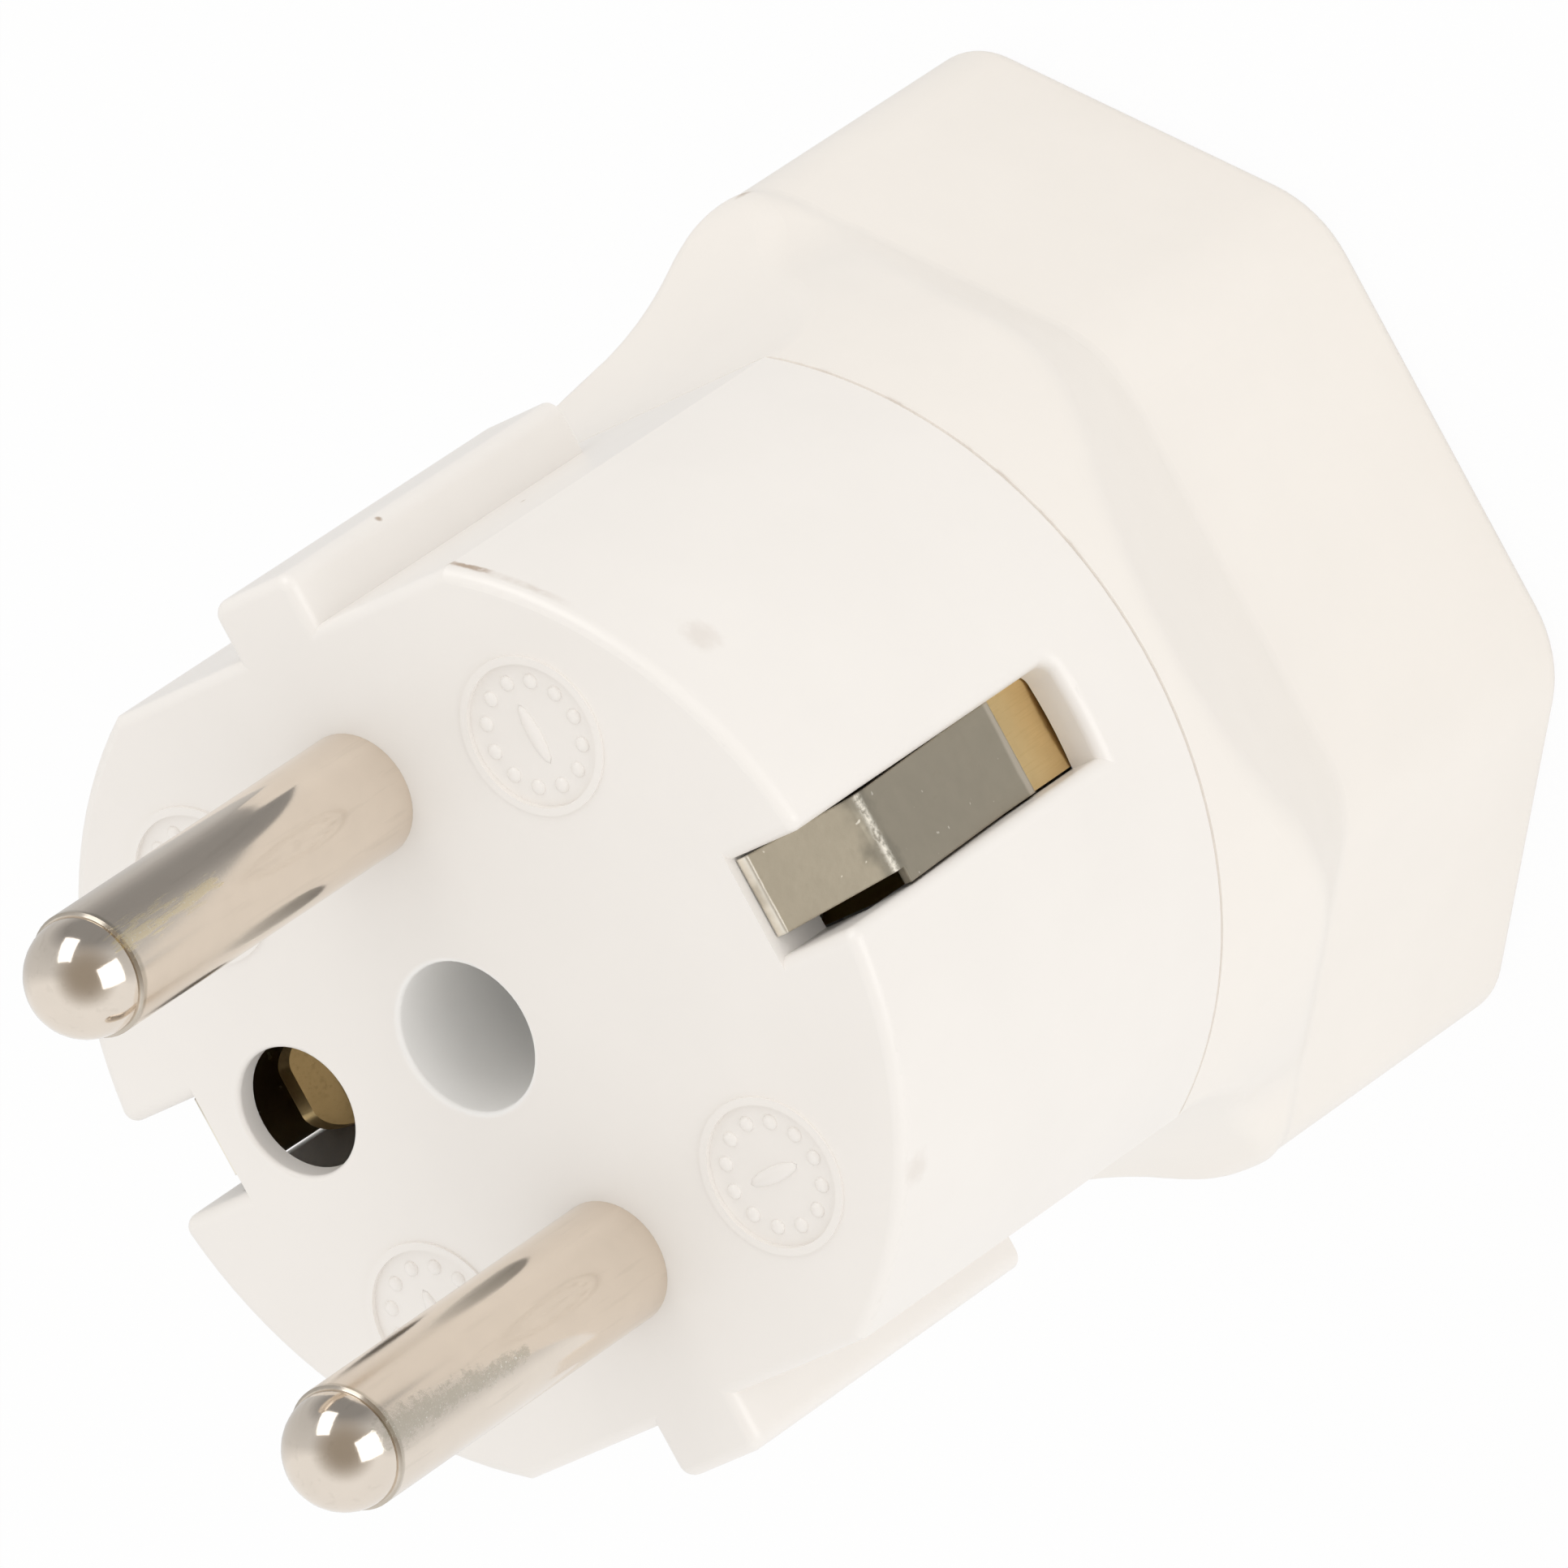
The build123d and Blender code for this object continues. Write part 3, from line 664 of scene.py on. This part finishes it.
def markRelief(look, material):
    points = bpy.data.meshes.new("markCentres")
    points.from_pydata([(x * mm, y * mm, look["floor"] * mm) for x, y in look["centres"]], [], [])
    maker = bpy.data.objects.new("markMaker", points)
    bpy.context.scene.collection.objects.link(maker)
    modifier = maker.modifiers.new("relief", "NODES")
    modifier.node_group = markTree(look, material)
    graph = bpy.context.evaluated_depsgraph_get()
    mesh = bpy.data.meshes.new_from_object(maker.evaluated_get(graph))
    bpy.data.objects.remove(maker)
    piece = bpy.data.objects.new("mark_relief", mesh)
    bpy.context.scene.collection.objects.link(piece)
    for face in mesh.polygons:
        face.use_smooth = True
    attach(piece, bodyName)


markRelief(markLook, finishes["plug_plastic"])
print("mark relief made")


# camera at the photograph's place, rolled as the photograph is

cameraLook = {
    "eye": (0.08750, -0.64536, 0.74847),
    "aim": (0.00120, 0.00046, 0.02770),
    "roll": -124.16,
    "lens": 616.96,
    "sensor": 36.0,
    "clip": (0.05, 50.0),
}


def photoCamera(look):
    data = bpy.data.cameras.new("photoCamera")
    data.sensor_fit = "HORIZONTAL"
    data.sensor_width = look["sensor"]
    data.lens = look["lens"]
    data.clip_start, data.clip_end = look["clip"]
    camera = bpy.data.objects.new("photoCamera", data)
    bpy.context.scene.collection.objects.link(camera)
    eye = Vector(look["eye"])
    level = (Vector(look["aim"]) - eye).to_track_quat("-Z", "Y").to_matrix()
    turned = level @ Matrix.Rotation(math.radians(look["roll"]), 3, "Z")
    camera.matrix_world = Matrix.Translation(eye) @ turned.to_4x4()
    bpy.context.scene.camera = camera


photoCamera(cameraLook)
print("camera set")


# studio: white floor, even white light and, for the metal to mirror, a room that is pale on one side

studioLook = {
    "floorSize": 6.0,
    "floorDrop": 0.05,  # in mm, below the part's rim
    "floorGlow": 0.95,
    "floorColour": (0.9, 0.9, 0.9),
    "worldLight": 0.9,
    "worldColour": (1.0, 0.985, 0.965),
    "dimSide": (0.875, -0.303, -0.377),  # towards the dim side of the room
    "dimTones": [(-0.2, 0.92), (0.05, 0.68), (0.62, 0.58), (0.88, 0.3)],  # cosine to the dim side, tone
    "darkSide": (0.089, -0.665, 0.742),  # towards the darkest part of the room
    "darkFade": (0.35, 1.0),
    "darkColour": (0.36, 0.32, 0.27),
}


def mirroredRoom(tree, look):
    way = addNode(tree, "ShaderNodeTexCoord").outputs["Generated"]
    tones = addNode(tree, "ShaderNodeValToRGB")
    stops = tones.color_ramp.elements
    while len(stops) < len(look["dimTones"]):
        stops.new(0.5)
    for stop, (cosine, tone) in zip(stops, look["dimTones"]):
        stop.position = (cosine + 1) / 2
        stop.color = (tone, tone, tone, 1)
    share = mathNode(tree, "MULTIPLY_ADD", vectorNode(tree, "DOT_PRODUCT", way, look["dimSide"]), 0.5, 0.5)
    tree.links.new(share, tones.inputs[0])
    dark = rampNode(tree, vectorNode(tree, "DOT_PRODUCT", way, look["darkSide"]), *look["darkFade"])
    return mixColour(tree, dark, tones.outputs["Color"], (*look["darkColour"], 1))


def studioWorld(look):
    world = bpy.data.worlds.new("softRoom")
    bpy.context.scene.world = world
    world.use_nodes = True
    tree = world.node_tree
    tree.nodes.clear()
    path = addNode(tree, "ShaderNodeLightPath")
    lit = addNode(tree, "ShaderNodeBackground")
    lit.inputs["Color"].default_value = (*look["worldColour"], 1)
    lit.inputs["Strength"].default_value = look["worldLight"]
    shown = addNode(tree, "ShaderNodeBackground")
    room = mixColour(tree, path.outputs["Is Glossy Ray"], (1, 1, 1, 1), mirroredRoom(tree, look))
    tree.links.new(room, shown.inputs["Color"])
    seen = mathNode(tree, "MAXIMUM", path.outputs["Is Camera Ray"], path.outputs["Is Glossy Ray"])
    seen = mathNode(tree, "MAXIMUM", seen, path.outputs["Is Transmission Ray"])
    mix = addNode(tree, "ShaderNodeMixShader")
    tree.links.new(seen, mix.inputs[0])
    tree.links.new(lit.outputs[0], mix.inputs[1])
    tree.links.new(shown.outputs[0], mix.inputs[2])
    out = addNode(tree, "ShaderNodeOutputWorld")
    tree.links.new(mix.outputs[0], out.inputs[0])


def emptyMaterial(name):
    material = bpy.data.materials.new(name)
    material.use_nodes = True
    material.node_tree.nodes.clear()
    return material, material.node_tree


def panel(name, size, matrix, material):
    mesh = bpy.data.meshes.new(name)
    turns = ((-1, -1), (1, -1), (1, 1), (-1, 1))
    corners = [matrix @ Vector((x * size[0] / 2, y * size[1] / 2, 0)) for x, y in turns]
    mesh.from_pydata(corners, [], [(0, 1, 2, 3)])
    mesh.materials.append(material)
    piece = bpy.data.objects.new(name, mesh)
    bpy.context.scene.collection.objects.link(piece)
    return piece


def studioFloor(look):
    material, tree = emptyMaterial("white_floor")
    matte = addNode(tree, "ShaderNodeBsdfDiffuse")
    matte.inputs["Color"].default_value = (*look["floorColour"], 1)
    glow = addNode(tree, "ShaderNodeEmission")
    glow.inputs["Color"].default_value = (1, 1, 1, 1)
    mix = addNode(tree, "ShaderNodeMixShader")
    path = addNode(tree, "ShaderNodeLightPath")
    seen = mathNode(tree, "MAXIMUM", path.outputs["Is Camera Ray"], path.outputs["Is Transmission Ray"])
    tree.links.new(mathNode(tree, "MULTIPLY", seen, look["floorGlow"]), mix.inputs[0])
    tree.links.new(matte.outputs[0], mix.inputs[1])
    tree.links.new(glow.outputs[0], mix.inputs[2])
    out = addNode(tree, "ShaderNodeOutputMaterial")
    tree.links.new(mix.outputs[0], out.inputs[0])
    size = look["floorSize"]
    drop = Matrix.Translation((0, 0, -look["floorDrop"] * mm))
    floor = panel("studio_floor", (size, size), drop, material)
    floor.visible_glossy = False  # the metal mirrors the room instead


lampLook = [
    {"name": "high_lamp", "towards": (0.9, -0.186, 0.38), "size": (0.32, 0.56),
     "power": 0.55, "glow": 1.9, "colour": (1.0, 0.97, 0.93)},
    {"name": "side_lamp", "towards": (-0.24, -0.968, 0.075), "size": (0.5, 0.62),
     "power": 0.75, "glow": 1.9, "colour": (1.0, 0.97, 0.93)},
    {"name": "fill_lamp", "towards": (-0.85, -0.5, 0.1), "size": (0.6, 0.6),
     "power": 0.3, "glow": 0.0, "colour": (1.0, 1.0, 1.0)},
]
lampAway = 0.7
lampAim = Vector((0, 0, 0.05))


def softLamp(look):
    spot = lampAim + Vector(look["towards"]).normalized() * lampAway
    place = Matrix.Translation(spot) @ (lampAim - spot).to_track_quat("-Z", "Y").to_matrix().to_4x4()
    data = bpy.data.lights.new(look["name"], "AREA")
    data.shape = "RECTANGLE"
    data.size, data.size_y = look["size"]
    data.energy = look["power"]
    data.color = look["colour"]
    lamp = bpy.data.objects.new(look["name"], data)
    bpy.context.scene.collection.objects.link(lamp)
    lamp.matrix_world = place
    lamp.visible_camera = False
    lamp.visible_glossy = False
    if look["glow"]:
        lampFront(look, place)


def lampFront(look, place):
    # bright face of the lamp, which only mirror-like surfaces meet
    material, tree = emptyMaterial(look["name"] + "_front")
    glow = addNode(tree, "ShaderNodeEmission")
    glow.inputs["Strength"].default_value = look["glow"]
    out = addNode(tree, "ShaderNodeOutputMaterial")
    tree.links.new(glow.outputs[0], out.inputs[0])
    front = panel(look["name"] + "_front", look["size"], place, material)
    front.visible_camera = False
    front.visible_diffuse = False
    front.visible_transmission = False
    front.visible_shadow = False


studioWorld(studioLook)
studioFloor(studioLook)
for look in lampLook:
    softLamp(look)
print("studio set")
